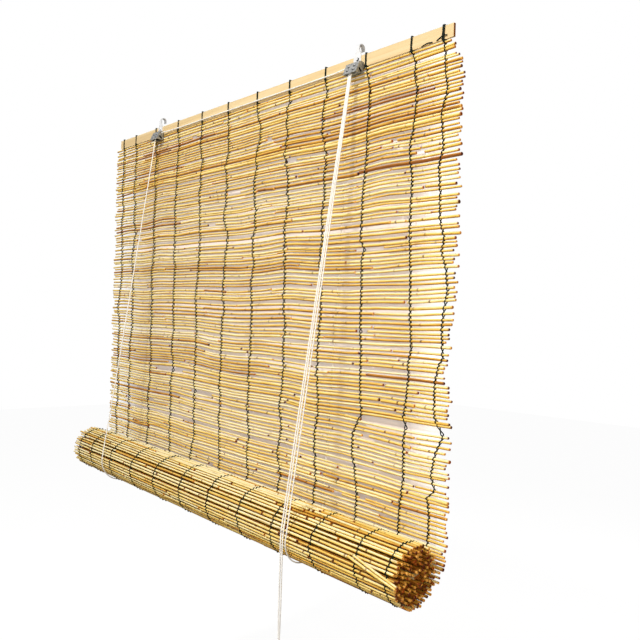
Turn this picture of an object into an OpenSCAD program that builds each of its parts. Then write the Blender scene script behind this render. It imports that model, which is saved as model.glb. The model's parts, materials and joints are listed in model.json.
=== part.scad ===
// Reed roll-up blind, drawn half raised, with its roll in front of the hanging mat.
// X runs along the slat, -Y faces the room and Z is up.
// The origin lies midway between the axes of the two hooks' bends.

/* [Slat] */
// Length of the bamboo slat at the head
slat_w = 900; // [860:5:1200]
// Height of the slat's face
slat_h = 17; // [15:0.5:24]
// Thickness of the slat
slat_t = 3.5; // [3:0.25:5]

/* [Reeds] */
// Rows of reeds that hang below the slat
rows = 117; // [80:1:120]
// Distance from one row to the next
row_pitch = 5.47; // [5.3:0.01:6.2]
// Thickness of an ordinary reed
reed_d = 3.6; // [3.2:0.1:3.8]
// How much thicker the thickest reed is
reed_extra = 0.9; // [0:0.1:1]
// Shortest length of reed past the slat's end
overhang_min = 9; // [4:1:12]
// Longest length of reed past the slat's end
overhang_max = 21; // [14:1:24]
// Drop of the hanging mat's right side below its level row, in degrees
skew = 1.85; // [0:0.05:2.5]

/* [Threads] */
// Columns of thread between the two edge columns
inner_columns = 10; // [6:2:12]
// Distance of an edge column from the slat's end
edge_inset = 15.6; // [12:0.2:24]
// Distance of the next column from the slat's end
second_inset = 69.3; // [50:0.5:90]
// Thickness of the thread
thread_d = 0.8; // [0.6:0.1:1]

/* [Roll] */
// Diameter over the roll's outermost reeds
roll_d = 84; // [76:1:100]
// Distance from one turn of the roll to the next
turn_pitch = 5.2; // [5:0.1:6]
// Thickness of the joined threads between two reeds of the roll
roll_web = 2.2; // [1.8:0.1:2.6]
// Longest length of rolled reed past the slat's end
roll_overhang = 10; // [6:1:12]
// Height of the slat at the mat's lower end
bottom_slat_h = 10; // [8:0.5:14]

/* [Hangers] */
// Distance of each hanger from the third column of thread, towards the middle
hanger_offset = 17.1; // [10:0.1:30]
// Width of the steel strap
strap_w = 15; // [12:0.5:20]
// Thickness of the strap and of the lock's sheet
strap_t = 1.2; // [1:0.1:1.6]
// Inner radius of the hook's bend
hook_r = 4.5; // [4:0.25:7]
// Height of the hook's bend above the slat's top edge
hook_rise = 12.5; // [10:0.5:24]
// Width of the tongue that is bent into the hook
tongue_w = 7; // [5:0.5:10]
// Diameter of the rivet's shank
rivet_d = 3; // [2.4:0.1:3.4]
// Distance of the rivet from the slat's top edge
rivet_drop = 3.5; // [3.4:0.1:6]

/* [Lock] */
// Width over the lock's cheeks
lock_w = 27; // [22:0.5:30]
// Height of the lock
lock_h = 16; // [15.5:0.5:20]
// Depth of the lock at its top edge
lock_d_top = 8; // [7.5:0.5:11]
// Depth of the lock at its open bottom
lock_d_bottom = 15; // [14.5:0.5:18]
// Distance of the lock's top below the slat's top edge
lock_drop = 11; // [9:0.5:12]
// Diameter of the knurled locking roller
locker_d = 5; // [4:0.25:5]
// Diameter of the pressed domes on the lock's front
dome_d = 4.4; // [3:0.2:4.8]
// Height of the pressed domes
dome_h = 0.9; // [0.5:0.1:1]
// Travel of the locking roller along its slots
locker_travel = 4; // [2:0.25:4]
// Slope of the slots from the level, in degrees
slot_slope = 45; // [40:1:50]
// Diameter of the guide wheels
wheel_d = 5; // [4:0.25:5.5]

/* [Cords] */
// Diameter of the lift cords
cord_d = 2; // [1.6:0.1:2.2]
// Diameter of a knot in a cord
knot_d = 5; // [4:0.5:6]
// Inner radius of the coil of spare cord
coil_inner_r = 7; // [5:0.5:8]
// Outer radius of the coil of spare cord
coil_outer_r = 15; // [13:0.5:16]
// Width of the coil of spare cord
coil_w = 28; // [20:1:32]

/* [Hidden] */

gap = 0.3;
eps = 0.01;
sides = 8;
$fn = 48;

mat_y = -(hook_r - slat_t / 2);
slat_top = -hook_rise;
slat_bottom = slat_top - slat_h;
slat_front = mat_y - slat_t / 2;
slat_back = mat_y + slat_t / 2;
strap_front = slat_front - strap_t;

reed_max_d = reed_d + reed_extra;
roll_r = roll_d / 2;
roll_y = mat_y + reed_d / 2 - roll_r;
first_row = slat_bottom - 0.9 - reed_max_d / 2;
roll_z = first_row - row_pitch * rows;
turn_r = roll_r - reed_d / 2;
core_r = bottom_slat_h / 2 + roll_web / 2 + 0.5;
roll_length = PI * (pow(turn_r, 2) - pow(core_r, 2)) / turn_pitch;
roll_reeds = floor(roll_length / row_pitch);

lock_top = slat_top - lock_drop;
lock_bottom = lock_top - lock_h;
rivet_z = slat_top - rivet_drop;
hole_d = rivet_d + 0.3;

thread_y = reed_max_d / 2 + gap + thread_d / 2;
binding_t = 0.6;
binding_w = 1.6;
coil_at = [243, -86.4, -862.3];
thread_xs = concat([-(slat_w / 2 - edge_inset)],
    [for (i = [0:inner_columns - 1])
        -(slat_w / 2 - second_inset) + i * (slat_w - 2 * second_inset) / (inner_columns - 1)],
    [slat_w / 2 - edge_inset]);
hanger_x = thread_xs[len(thread_xs) - 3] - hanger_offset;

steel = "#c9ccd0";
green = "#23402c";
straw = "#e0bb6c";
white = "#f4f3ee";

// Random numbers for the reeds, the same on every build
reed_sizes = rands(0, 1, 400, 11);
right_ends = rands(0, 1, 400, 23);
left_ends = rands(0, 1, 400, 37);
row_shifts = rands(-1, 1, 400, 51);

// Height of a row at the blind's middle, and its slope
function row_z(i) = first_row - row_pitch * i + row_shifts[i] * 0.25;
function row_slope(i) = skew * (i + 0.5) / rows;
function reed_size(i) = reed_d + reed_extra * pow(reed_sizes[i], 3);
function reach_right(i) = slat_w / 2 + overhang_min + (overhang_max - overhang_min) * right_ends[i];
function reach_left(i) = slat_w / 2 + overhang_min + (overhang_max - overhang_min) * left_ends[i];
function roll_drop(x) = x * tan(skew);

// A rod along X between two places, turned to put a flat side down
module rod_x(x0, x1, d, fn = 48) {
    translate([x0, 0, 0]) rotate([0, 90, 0]) rotate([0, 0, 180 / fn]) cylinder(h = x1 - x0, d = d, $fn = fn);
}

// Extrudes a profile drawn in Y and Z along X, centred on x = 0
module along_x(length) {
    translate([-length / 2, 0, 0]) rotate([90, 0, 90]) linear_extrude(length) children();
}

module head_slat() {
    color("#e3cf9f")
    difference() {
        translate([-slat_w / 2, slat_front, slat_bottom]) cube([slat_w, slat_t, slat_h]);
        for (x = [-hanger_x, hanger_x])
            translate([x, mat_y, rivet_z]) rotate([90, 0, 0])
                cylinder(h = slat_t + 2, d = hole_d, center = true);
    }
}

// One band of thread wrapped round the slat
module binding() {
    difference() {
        translate([-binding_w / 2, slat_front - binding_t, slat_bottom - binding_t])
            cube([binding_w, slat_t + 2 * binding_t, slat_h + 2 * binding_t]);
        translate([-binding_w, slat_front, slat_bottom]) cube([2 * binding_w, slat_t, slat_h]);
    }
}

module slat_bindings() {
    color(green) for (x = thread_xs) translate([x, 0, 0]) binding();
}

// Reeds in rows, joined only along the two edge columns, with an open gap below every row
module reed_mat() {
    color(straw)
    union() {
        for (i = [0:rows - 1])
            translate([0, mat_y, row_z(i)]) rotate([0, row_slope(i), 0])
                rod_x(-reach_left(i), reach_right(i), reed_size(i), sides);
        for (x = [thread_xs[0], thread_xs[len(thread_xs) - 1]]) {
            low = row_z(rows - 1) - x * tan(row_slope(rows - 1));
            translate([x - 1.5, mat_y - 0.6, low]) cube([3, 1.2, slat_bottom - binding_t - gap - low]);
        }
    }
}

// The two threads of each column, in front of the reeds and behind them
module warp_threads() {
    color(green)
    for (x = thread_xs, side = [-1, 1]) {
        low = roll_z + row_pitch / 2 - roll_drop(x);
        translate([x, mat_y + side * thread_y, low])
            cylinder(h = slat_bottom - binding_t - low, d = thread_d, $fn = sides);
    }
}

// The mat in the roll follows a spiral that starts at the back and turns inwards
function spiral_angle(s) = (turn_r - sqrt(max(0, turn_r * turn_r - turn_pitch / PI * s))) * 360 / turn_pitch;
function spiral_point(s, out) = let (a = spiral_angle(s), r = turn_r - turn_pitch * a / 360 + out)
    [r * cos(a), -r * sin(a)];

outer_reeds = floor(2 * PI * turn_r / row_pitch);
function ridge(s, side) = [
    spiral_point(s - 0.46 * reed_d, side * roll_web / 2), spiral_point(s - 0.22 * reed_d, side * reed_d / 2),
    spiral_point(s + 0.22 * reed_d, side * reed_d / 2), spiral_point(s + 0.46 * reed_d, side * roll_web / 2)];
outer_side = [for (k = [0:outer_reeds - 1]) each ridge((k + 0.5) * row_pitch, 1)];
outer_back = [for (k = [outer_reeds - 1:-1:0])
    let (r = ridge((k + 0.5) * row_pitch, -1)) each [r[3], r[2], r[1], r[0]]];
inner_start = (outer_reeds + 0.5) * row_pitch;
inner_count = ceil((roll_length - inner_start) / 4.4);
inner_steps = [for (i = [0:inner_count]) inner_start + (roll_length - inner_start) * i / inner_count];

module spiral_profile() {
    polygon(concat(outer_side,
        [for (s = inner_steps) spiral_point(s, roll_web / 2)],
        [for (i = [len(inner_steps) - 1:-1:0]) spiral_point(inner_steps[i], -roll_web / 2)],
        outer_back));
}

// The rolled-up mat, with every second reed standing out of the ends by its own length
module mat_roll() {
    rod_d = reed_d * 0.98;
    color(straw)
    translate([0, roll_y, roll_z]) rotate([0, skew, 0])
        union() {
            along_x(slat_w) spiral_profile();
            for (k = [0:2:roll_reeds - 1]) {
                at = spiral_point((k + 0.5) * row_pitch, 0);
                translate([slat_w / 2 - 3, at[0], at[1]])
                    rod_x(0, 3 + roll_overhang * right_ends[k + 150], rod_d, 6);
                translate([3 - slat_w / 2, at[0], at[1]])
                    rod_x(-3 - roll_overhang * left_ends[k + 150], 0, rod_d, 6);
            }
        }
}

// The thread of each column where it runs over the outermost reeds, up to where the mat meets the roll
module roll_threads() {
    steps = [for (s = [1 : row_pitch : 0.88 * 2 * PI * turn_r]) s];
    inner = reed_d / 2 + gap;
    color(green)
    translate([0, roll_y, roll_z]) rotate([0, skew, 0])
        for (x = thread_xs)
            translate([x, 0, 0]) along_x(thread_d)
                polygon(concat([for (s = steps) spiral_point(s, inner + thread_d / 2)],
                    [for (i = [len(steps) - 1:-1:0]) spiral_point(steps[i], inner)]));
}

// The slat at the mat's lower end, in the middle of the roll, with one edge at the spiral's inner end
module bottom_slat() {
    color("#e3cf9f")
    translate([0, roll_y, roll_z]) rotate([0, skew, 0]) rotate([-90 - spiral_angle(roll_length), 0, 0])
        cube([slat_w, slat_t, bottom_slat_h], center = true);
}

// The strap's face: wide over the slat and tapered to the tongue above it
module strap_outline() {
    top = hook_r + strap_t + 1;
    polygon([
        [-strap_w / 2, slat_bottom], [strap_w / 2, slat_bottom], [strap_w / 2, slat_top],
        [tongue_w / 2, -hook_rise * 0.3], [tongue_w / 2, top], [-tongue_w / 2, top],
        [-tongue_w / 2, -hook_rise * 0.3], [-strap_w / 2, slat_top]]);
}

// A steel strap in front of the slat, bent over at its top into a hook
module hanger() {
    leg_back = hook_r * 0.8;
    difference() {
        intersection() {
            along_x(strap_w)
                union() {
                    translate([strap_front, slat_bottom]) square([strap_t, -slat_bottom]);
                    intersection() {
                        difference() {
                            circle(r = hook_r + strap_t);
                            circle(r = hook_r);
                        }
                        translate([-2 * hook_r, 0]) square([4 * hook_r, 2 * hook_r]);
                    }
                    translate([hook_r, -leg_back]) square([strap_t, leg_back]);
                }
            rotate([90, 0, 0]) linear_extrude(6 * hook_r, center = true) strap_outline();
        }
        translate([0, strap_front, rivet_z]) rotate([90, 0, 0])
            cylinder(h = 3 * strap_t, d = hole_d, center = true);
    }
}

// A small plate behind the slat, which the rivet pulls against
module back_plate() {
    difference() {
        translate([-strap_w / 2, slat_back, slat_bottom]) cube([strap_w, strap_t, slat_h]);
        translate([0, slat_back, rivet_z]) rotate([90, 0, 0])
            cylinder(h = 3 * strap_t, d = hole_d, center = true);
    }
}

// The rivet from front to back, with a head at each end
module rivet() {
    head_h = rivet_d * 0.35;
    back = slat_back + strap_t;
    translate([0, 0, rivet_z]) rotate([90, 0, 0]) {
        translate([0, 0, -back]) cylinder(h = back - strap_front, d = rivet_d);
        translate([0, 0, -strap_front]) cylinder(h = head_h, d = rivet_d * 1.7);
        translate([0, 0, -back - head_h]) cylinder(h = head_h, d = rivet_d * 1.7);
    }
}

module hanger_right() { color(steel) translate([hanger_x, 0, 0]) hanger(); }
module hanger_left() { color(steel) translate([-hanger_x, 0, 0]) hanger(); }
module back_plate_right() { color(steel) translate([hanger_x, 0, 0]) back_plate(); }
module back_plate_left() { color(steel) translate([-hanger_x, 0, 0]) back_plate(); }
module rivet_right() { color(steel) translate([hanger_x, 0, 0]) rivet(); }
module rivet_left() { color(steel) translate([-hanger_x, 0, 0]) rivet(); }

// The housing's side: an upright back and a front that slopes out to the open bottom
wall = strap_t;
wheel_y = strap_front - wall - gap - wheel_d / 2;
cross_z = lock_top - wall - gap - cord_d / 2;
wheel_z = cross_z - cord_d / 2 - gap - wheel_d / 2;
locker_y = strap_front - wall - 1.5 - locker_d / 2;
locker_z = lock_bottom + locker_d / 2;
pin_d = 2.2;
cross_hole_d = cord_d + 0.5;

module housing_side(inset) {
    slope = atan2(lock_d_bottom - lock_d_top, lock_h);
    front_inset = inset / cos(slope);
    polygon([
        [strap_front - inset, lock_top - inset],
        [strap_front - lock_d_top - inset * tan(slope) + front_inset, lock_top - inset],
        [strap_front - lock_d_bottom + front_inset, lock_bottom], [strap_front - inset, lock_bottom]]);
}

module housing_shell() {
    difference() {
        along_x(lock_w) housing_side(0);
        along_x(lock_w - 2 * wall) housing_side(wall);
        translate([wall - lock_w / 2, strap_front - lock_d_bottom + 1.5 * wall, lock_bottom - 1])
            cube([lock_w - 2 * wall, lock_d_bottom - 2.5 * wall, 1 + eps]);
        translate([0, wheel_y, wheel_z]) rod_x(-lock_w, lock_w, pin_d + 0.2);
    }
}

// Slanted slots through both cheeks, which the locking roller's ends ride in
module slot_cut() {
    slot_w = pin_d + 0.4;
    for (t = [0, 1])
        translate([0, locker_y, locker_z] + t * locker_travel * [0, -cos(slot_slope), sin(slot_slope)])
            rod_x(-lock_w, lock_w, slot_w);
    translate([0, locker_y, locker_z]) rotate([180 - slot_slope, 0, 0])
        translate([-lock_w, 0, -slot_w / 2]) cube([2 * lock_w, locker_travel, slot_w]);
}

// Four pressed domes on the sloping front, each the cap of a ball
module front_domes() {
    slope = atan2(lock_d_bottom - lock_d_top, lock_h);
    ball_r = (pow(dome_h, 2) + pow(dome_d / 2, 2)) / (2 * dome_h);
    for (x = [-1, 1], z = [0.3, 0.66])
        translate([x * lock_w * 0.22,
            strap_front - lock_d_top - (lock_d_bottom - lock_d_top) * z, lock_top - lock_h * z])
            rotate([90 - slope, 0, 0])
                intersection() {
                    translate([0, 0, dome_h - ball_r]) sphere(r = ball_r);
                    translate([0, 0, -wall / 2]) cylinder(h = wall / 2 + 2 * dome_h, d = dome_d);
                }
}

module lock_housing() {
    color("#a9adb2")
    translate([hanger_x, 0, 0])
        difference() {
            union() {
                housing_shell();
                front_domes();
            }
            slot_cut();
            translate([0, wheel_y, cross_z]) rod_x(-lock_w, 0, cross_hole_d);
        }
}

module locking_roller() {
    color("#8d9196")
    translate([hanger_x, locker_y, locker_z]) {
        rod_x(-lock_w / 2 + wall + gap, lock_w / 2 - wall - gap, locker_d);
        rod_x(-lock_w / 2 - 0.6, lock_w / 2 + 0.6, pin_d);
    }
}

// A grooved wheel on a pin
module grooved_wheel() {
    half = lock_w / 2 - wall - gap;
    rotate([0, 90, 0]) rotate_extrude()
        polygon([[pin_d / 2 + 0.15, -half], [wheel_d / 2, -half], [wheel_d / 2, -half + 1],
            [wheel_d / 2 - 1, -half + 2], [wheel_d / 2 - 1, half - 2], [wheel_d / 2, half - 1],
            [wheel_d / 2, half], [pin_d / 2 + 0.15, half]]);
}

module wheel_pin() {
    rod_x(-lock_w / 2 - 0.5, lock_w / 2 + 0.5, pin_d);
}

module lock_wheel() { color("#e8e6df") translate([hanger_x, wheel_y, wheel_z]) grooved_wheel(); }
module lock_wheel_pin() { color(steel) translate([hanger_x, wheel_y, wheel_z]) wheel_pin(); }

module pulley_housing() {
    color("#a9adb2")
    translate([-hanger_x, 0, 0])
        difference() {
            union() {
                housing_shell();
                front_domes();
            }
            translate([0, wheel_y, cross_z]) rod_x(0, lock_w, cross_hole_d);
        }
}

module pulley_wheel() { color("#e8e6df") translate([-hanger_x, wheel_y, wheel_z]) grooved_wheel(); }
module pulley_wheel_pin() { color(steel) translate([-hanger_x, wheel_y, wheel_z]) wheel_pin(); }

// Cord routes, as points chosen by hand, in millimetres
route_back_right = [
    [272, 3, -27.6], [268, 2, -42], [261, 1, -82], [247, 1, -310], [232, 0.8, -570], [226, 0.4, -679.5]];
route_back_left = [
    [-286, 3, -27.6], [-290, 2.5, -42], [-297, 2.2, -82], [-311, 1.6, -310], [-326, 1, -570],
    [-332, 0.4, -661.6]];
route_front_right = [
    [278.6, -15.9, -38], [278, -17.6, -55], [272, -33.6, -200], [265, -52.3, -370],
    [258, -71.1, -540], [253, -84.3, -660], [252.4, -86, -675.7]];
route_front_left = [
    [-279, -15.9, -38], [-280, -17.6, -55], [-289, -33.6, -200], [-299.5, -52.8, -370],
    [-311, -72, -540], [-319, -84.4, -643], [-320, -86, -657.2]];
route_pull_right = [
    [276.3, -15.9, -38], [275.6, -17.6, -55], [268.5, -33.6, -200], [260.2, -52.3, -370],
    [252, -71.1, -540], [246.1, -84.3, -660], [245.4, -86, -675]];
route_pull_left = [
    [274, -15.9, -38], [273.2, -17.6, -55], [265.5, -33.6, -200], [256.6, -52.3, -370],
    [247.6, -71.1, -540], [241.3, -84.3, -660], [240.6, -86, -675]];
route_tail_right = [
    [245.4, -86, -675.2], [245.3, -86.3, -682], [245, -86.4, -720], [245, -86.4, -780], [245, -86.4, -846]];
route_tail_left = [
    [240.6, -86, -675.2], [240.7, -86.3, -682], [241, -86.4, -720], [241, -86.4, -780], [241, -86.4, -846]];
route_cross = [
    [266.7, -9.7, -26], [258, -8.8, -26], [240, -7, -26.2], [210, -6.5, -26.4], [90, -6.5, -26.4],
    [-90, -6.5, -26.4], [-210, -6.5, -26.4], [-240, -7, -26.2], [-258, -8.8, -26], [-266.7, -9.7, -26]];

function unit(v) = v / norm(v);
function tangent(p, i) = unit(p[min(i + 1, len(p) - 1)] - p[max(i - 1, 0)]);

// A tube with flat ends, swept along a route that never runs along the direction across
module cord(route, across = [1, 0, 0]) {
    n = len(route);
    points = [for (i = [0:n - 1])
        let (t = tangent(route, i), u = unit(cross(t, across)), v = cross(t, u))
        for (k = [0:sides - 1]) let (a = k * 360 / sides) route[i] + cord_d / 2 * (cos(a) * u + sin(a) * v)];
    faces = concat([[for (k = [0:sides - 1]) k]],
        [for (i = [0:n - 2], k = [0:sides - 1]) let (a = i * sides + k, b = i * sides + (k + 1) % sides)
            [a, a + sides, b + sides, b]],
        [[for (k = [sides - 1:-1:0]) (n - 1) * sides + k]]);
    polyhedron(points, faces, convexity = 4);
}

module back_strand_right() { color(white) cord(route_back_right); }
module back_strand_left() { color(white) cord(route_back_left); }
module front_strand_right() { color(white) cord(route_front_right); }
module front_strand_left() { color(white) cord(route_front_left); }
module pull_cord_right() { color(white) cord(route_pull_right); }
module pull_cord_left() { color(white) cord(route_pull_left); }
module pull_tail_right() { color(white) cord(route_tail_right); }
module pull_tail_left() { color(white) cord(route_tail_left); }
module cross_cord() { color(white) cord(route_cross, [0, 0, 1]); }

// The bight of cord that carries the roll, from behind it to its front
module lift_loop(back_x, front_x, front_a) {
    loop_r = roll_r + gap + cord_d / 2;
    turn = 180 - front_a;
    cord([for (a = [0:turn / 14:turn]) let (x = back_x + (front_x - back_x) * a / turn)
        [x, roll_y + loop_r * cos(a), roll_z - roll_drop(x) - loop_r * sin(a)]]);
}

module lift_loop_right() { color(white) lift_loop(226, 252.4, -6.5); }
module lift_loop_left() { color(white) lift_loop(-332, -320, -6.5); }

// The knot that holds a lift cord behind the slat, beside a hanger
module knot(hanger_place) {
    beside = hanger_place - strap_w / 2 + knot_d / 10;
    translate([beside, slat_back + strap_t + gap + knot_d / 2, slat_bottom + 0.9 * knot_d])
        sphere(d = knot_d);
}

module knot_right() { color(white) knot(hanger_x); }
module knot_left() { color(white) knot(-hanger_x); }

// The spare cord of both pull cords, wound into one round coil on a level axis
module cord_coil() {
    color(white)
    translate(coil_at) rotate([0, 90, 0]) rotate_extrude()
        translate([coil_inner_r, -coil_w / 2]) square([coil_outer_r - coil_inner_r, coil_w]);
}

// A turn of cord tied round the coil's top
module coil_tie() {
    low = coil_inner_r - 0.5;
    high = coil_outer_r + gap;
    color(white)
    translate(coil_at)
        difference() {
            translate([-coil_w / 2 - gap - 1, -2, low - 1]) cube([coil_w + 2 * gap + 2, 4, high - low + 2]);
            translate([-coil_w / 2 - gap, -3, low]) cube([coil_w + 2 * gap, 6, high - low]);
        }
}

// The knot at the end of each pull cord, where the cord leaves the coil's bore
module end_knots() {
    color(white)
    for (side = [-1, 1])
        translate(coil_at + [side * (coil_w / 2 + gap + knot_d / 2), 0, -coil_inner_r]) sphere(d = knot_d);
}

head_slat();
slat_bindings();
reed_mat();
warp_threads();
mat_roll();
roll_threads();
bottom_slat();
hanger_right();
hanger_left();
back_plate_right();
back_plate_left();
rivet_right();
rivet_left();
lock_housing();
locking_roller();
lock_wheel();
lock_wheel_pin();
pulley_housing();
pulley_wheel();
pulley_wheel_pin();
knot_right();
knot_left();
back_strand_right();
back_strand_left();
front_strand_right();
front_strand_left();
cross_cord();
lift_loop_right();
lift_loop_left();
pull_cord_right();
pull_cord_left();
pull_tail_right();
pull_tail_left();
cord_coil();
coil_tie();
end_knots();
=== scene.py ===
import json
import math

import bpy
import numpy as np
from mathutils import Matrix, Vector


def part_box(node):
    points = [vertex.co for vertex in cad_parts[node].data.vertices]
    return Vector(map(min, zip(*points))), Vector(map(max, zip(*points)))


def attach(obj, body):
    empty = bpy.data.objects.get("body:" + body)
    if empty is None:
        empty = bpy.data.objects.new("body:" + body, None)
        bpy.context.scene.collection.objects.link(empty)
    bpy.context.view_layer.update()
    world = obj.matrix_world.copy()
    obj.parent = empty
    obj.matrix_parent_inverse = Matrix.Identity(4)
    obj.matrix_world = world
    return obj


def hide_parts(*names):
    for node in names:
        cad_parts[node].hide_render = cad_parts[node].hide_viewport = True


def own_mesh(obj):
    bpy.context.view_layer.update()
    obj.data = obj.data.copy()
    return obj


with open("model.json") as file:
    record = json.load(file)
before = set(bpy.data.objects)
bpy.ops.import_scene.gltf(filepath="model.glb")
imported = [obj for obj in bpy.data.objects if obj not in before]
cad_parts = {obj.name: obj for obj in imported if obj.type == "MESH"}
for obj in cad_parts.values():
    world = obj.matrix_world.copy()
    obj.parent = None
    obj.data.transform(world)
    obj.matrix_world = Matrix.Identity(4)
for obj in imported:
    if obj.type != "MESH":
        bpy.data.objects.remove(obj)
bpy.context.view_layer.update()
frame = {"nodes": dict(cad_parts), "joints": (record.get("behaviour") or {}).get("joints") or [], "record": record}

# Sizes, in metres, worked out from the frame where it holds them
SLAT_LOW, SLAT_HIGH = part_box("head_slat")
HALF_WIDTH = SLAT_HIGH.x
MAT_Y = (SLAT_LOW.y + SLAT_HIGH.y) / 2
SLAT_BOTTOM = SLAT_LOW.z
SLAT_TOP = SLAT_HIGH.z

ROW_COUNT = 117
ROW_PITCH = 0.00547
REED_RADIUS = 0.0018
THICKEST_REED = 0.0024
MAT_TOP = SLAT_BOTTOM - 0.0009
OVERHANG_MIN = 0.009
OVERHANG_MAX = 0.021

EDGE_COLUMN_INSET = 0.0156
NEXT_COLUMN_INSET = 0.0693
INNER_COLUMNS = 10
THREAD_RADIUS = 0.0008
CORD_RADIUS = 0.001
TWINE_RADIUS = 0.00055

joint_of = {joint["name"]: joint for joint in frame["joints"]}
ROLL_CENTRE = Vector(joint_of["roll_turn"]["pos_m"])
SKEW = math.asin(-joint_of["roll_turn"]["axis"][2])
ROLL_RADIUS = 0.042
TURN_RADIUS = ROLL_RADIUS - REED_RADIUS
TURN_PITCH = 0.0052
CORE_RADIUS = 0.0066

# The cord lock's housing: its sheet, its depth at the top and the bottom, its domes' places as shares of
# its height and width, and the slots along which the locking roller slides
HOUSING_SHEET = 0.0012
TOP_DEPTH, BOTTOM_DEPTH = 0.008, 0.015
DOME_SHARES = (0.3, 0.66)
DOME_SPREAD = 0.22
DOME_RADIUS = 0.0021
SLOT_RADIUS = 0.0015
LOCKER_AXIS = Vector(joint_of["locker_slide"]["axis"])
LOCKER_TRAVEL = joint_of["locker_slide"]["range_m"][1]

# The photograph's viewpoint: place in metres, angles in degrees, and lens for a sensor 36 mm wide
CAMERA_PLACE = (1.0508, -0.7283, -0.3888)
CAMERA_YAW, CAMERA_PITCH, CAMERA_ROLL = 49.12, 0.3, 1.714
CAMERA_LENS = 42.47

# The stretch of wall behind the mat, the floor's height, and the wall's colours: high, low, browner as painted
# shade near the roll, and at its right, paler as painted light
WALL_LEFT, WALL_RIGHT, WALL_LOW, WALL_TOP = -0.455, 0.438, -0.72, SLAT_TOP - 0.005
WALL_Y = 0.0063
FLOOR_Z = -1.25
WALL_HIGH_COLOUR = (0.66, 0.585, 0.55, 1)
WALL_LOW_PAINTED_SHADE = (0.56, 0.46, 0.39, 1)
WALL_RIM_PAINTED_LIGHT = (0.7, 0.68, 0.66, 1)

# Lamps: name, place, what they point at, size, power and tint
LAMPS = [
    ("key", (0.1, -1.75, 1.2), (0.05, 0, -0.35), (0.2, 0.2), 44, (1, 0.98, 0.95)),
    ("side", (1.7, -0.9, -0.2), (0.3, 0, -0.6), (0.4, 0.4), 13, (1, 0.88, 0.72)),
    ("low", (0.6, -1.5, -1.0), (0.2, 0, -0.75), (0.4, 0.4), 5, (1, 0.97, 0.92)),
    ("top", (0.1, -1.1, 1.5), (0, 0, -0.4), (1.0, 0.6), 6, (1, 1, 1)),
    ("behind", (0.3, 2.2, 0.4), (0, 0, -0.4), (1.6, 1.2), 9, (1, 1, 1)),
]


def thread_columns():
    """Places along the slat of the twelve columns of thread."""
    outer = HALF_WIDTH - EDGE_COLUMN_INSET
    inner = HALF_WIDTH - NEXT_COLUMN_INSET
    return [-outer, *np.linspace(-inner, inner, INNER_COLUMNS), outer]


COLUMNS = thread_columns()


# Small helpers for meshes, pieces and node trees

def link(obj):
    bpy.context.scene.collection.objects.link(obj)
    return obj


def place_piece(obj, body, slot, *solids):
    """Puts a piece on a body and has it stand for the named solids. Its slot is not used."""
    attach(obj, body)
    if solids:
        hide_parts(*solids)
    return obj


def colour(red, green, blue):
    """A display colour, given from 0 to 255, as the linear colour that a shader takes."""
    linear = [((c / 255 + 0.055) / 1.055) ** 2.4 if c > 10 else c / 255 / 12.92 for c in (red, green, blue)]
    return (*linear, 1.0)


def add_attributes(mesh, values):
    """Stores one number for each vertex under each name. Whole numbers become an INT attribute."""
    for name, numbers in values.items():
        numbers = np.asarray(numbers)
        kind = "INT" if numbers.dtype.kind == "i" else "FLOAT"
        layer = mesh.attributes.new(name, kind, "POINT")
        layer.data.foreach_set("value", numbers.astype(np.int32 if kind == "INT" else np.float32))


def side_faces(rings, sides):
    """The four-sided faces between neighbouring rings, which have as many points as there are sides."""
    corners = ((0, 0), (0, 1), (1, 1), (1, 0))
    return [tuple((ring + up) * sides + (point + on) % sides for up, on in corners)
            for ring in range(rings - 1) for point in range(sides)]


def set_inputs(tree, made, inputs):
    """Gives a node's inputs their values. A value that is another node's output is linked."""
    for key, value in inputs.items():
        if isinstance(value, bpy.types.NodeSocket):
            tree.links.new(value, made.inputs[key])
        else:
            made.inputs[key].default_value = value


def node(tree, kind, inputs=None, **settings):
    made = tree.nodes.new(kind)
    for name, value in settings.items():
        setattr(made, name, value)
    set_inputs(tree, made, inputs or {})
    return made


def math_node(tree, operation, *values):
    return node(tree, "ShaderNodeMath", dict(enumerate(values)), operation=operation).outputs[0]


def plus(tree, first, second):
    return math_node(tree, "ADD", first, second)


def minus(tree, first, second):
    return math_node(tree, "SUBTRACT", first, second)


def times(tree, first, second):
    return math_node(tree, "MULTIPLY", first, second)


def larger(tree, first, second):
    return math_node(tree, "MAXIMUM", first, second)


def absolute(tree, value):
    return math_node(tree, "ABSOLUTE", value)


def vector_math(tree, operation, *values):
    outputs = node(tree, "ShaderNodeVectorMath", dict(enumerate(values)), operation=operation).outputs
    return outputs["Value" if operation in ("DISTANCE", "DOT_PRODUCT") else "Vector"]


def scaled(tree, vector, factor):
    return node(tree, "ShaderNodeVectorMath", {0: vector, "Scale": factor}, operation="SCALE").outputs[0]


def vector_of(tree, x, y, z):
    return node(tree, "ShaderNodeCombineXYZ", {0: x, 1: y, 2: z}).outputs[0]


def parts_of(tree, vector):
    return node(tree, "ShaderNodeSeparateXYZ", {0: vector}).outputs


def coordinate(tree, kind):
    """The surface's place, where kind is Object, or its normal, where kind is Normal."""
    return node(tree, "ShaderNodeTexCoord").outputs[kind]


def attribute(tree, name):
    return node(tree, "ShaderNodeAttribute", attribute_name=name).outputs["Fac"]


def mix_colour(tree, factor, first, second):
    inputs = {"Factor": factor, 6: first, 7: second}
    return node(tree, "ShaderNodeMix", inputs, data_type="RGBA").outputs[2]


def remap(tree, value, low, high, to_low=0.0, to_high=1.0):
    inputs = {"Value": value, "From Min": low, "From Max": high, "To Min": to_low, "To Max": to_high}
    return node(tree, "ShaderNodeMapRange", inputs).outputs[0]


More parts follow.
